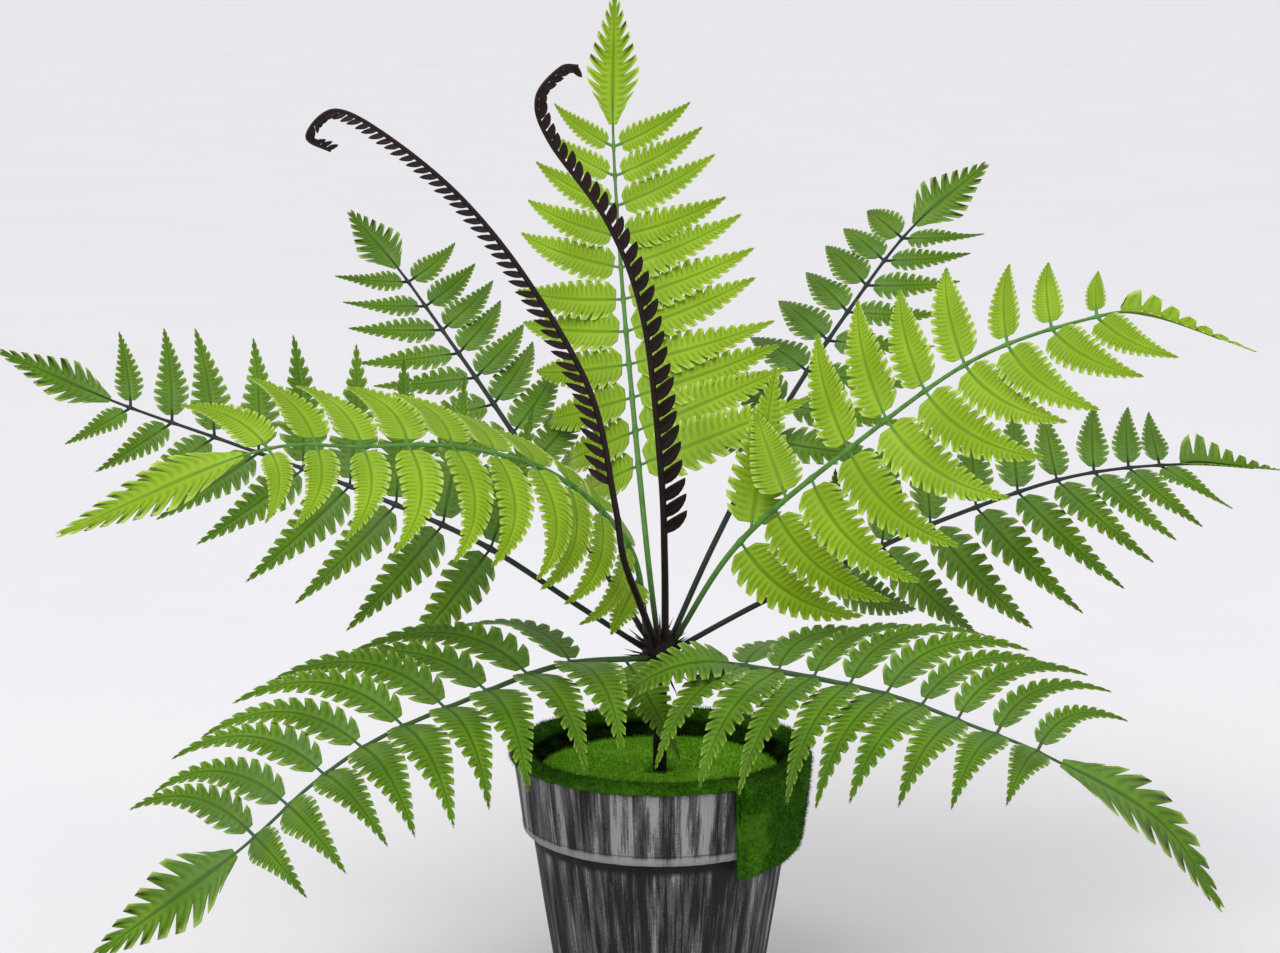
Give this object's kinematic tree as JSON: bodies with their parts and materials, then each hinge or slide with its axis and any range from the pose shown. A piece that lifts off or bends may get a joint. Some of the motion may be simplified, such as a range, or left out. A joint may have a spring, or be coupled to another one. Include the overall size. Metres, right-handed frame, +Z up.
{
  "type": "artificial potted fern",
  "caption": "Artificial fern of lime and dark green fronds with curled brown crosiers, standing in a tapered wood-look pot topped with flocked moss.",
  "frame": {"origin": "middle of the pot's flat underside", "axes": "+Z up, -Y towards the front, where the two low fronds reach forward and the moss flap hangs at the right"},
  "size_m": [0.6623, 0.3966, 0.502],
  "materials": {
    "pot": "charcoal moulded plastic with brushed light grey wood grain",
    "filling": "dark dull foam",
    "moss": "short flocked pile",
    "brown": "satin dark brown plastic",
    "stem": "satin dark green plastic over wire",
    "lime_leaf": "satin lime green plastic with pale edges",
    "dark_leaf": "satin leaf green plastic with pale edges"
  },
  "bodies": {
    "root": {"pot": "pot", "filling": "filling", "moss_disc": "moss", "moss_collar": "moss", "trunk": "brown", "crown": "brown", "crosier_left": "brown", "crosier_right": "brown", "lime_top_stem": "stem", "lime_top_blade": "lime_leaf", "lime_left_stem": "stem", "lime_left_blade": "lime_leaf", "lime_right_stem": "stem", "lime_right_blade": "lime_leaf", "dark_back_left_stem": "stem", "dark_back_left_blade": "dark_leaf", "dark_back_right_stem": "stem", "dark_back_right_blade": "dark_leaf", "dark_left_stem": "stem", "dark_left_blade": "dark_leaf", "dark_right_stem": "stem", "dark_right_blade": "dark_leaf", "dark_front_left_stem": "stem", "dark_front_left_blade": "dark_leaf", "dark_front_right_stem": "stem", "dark_front_right_blade": "dark_leaf"}
  },
  "joints": []
}
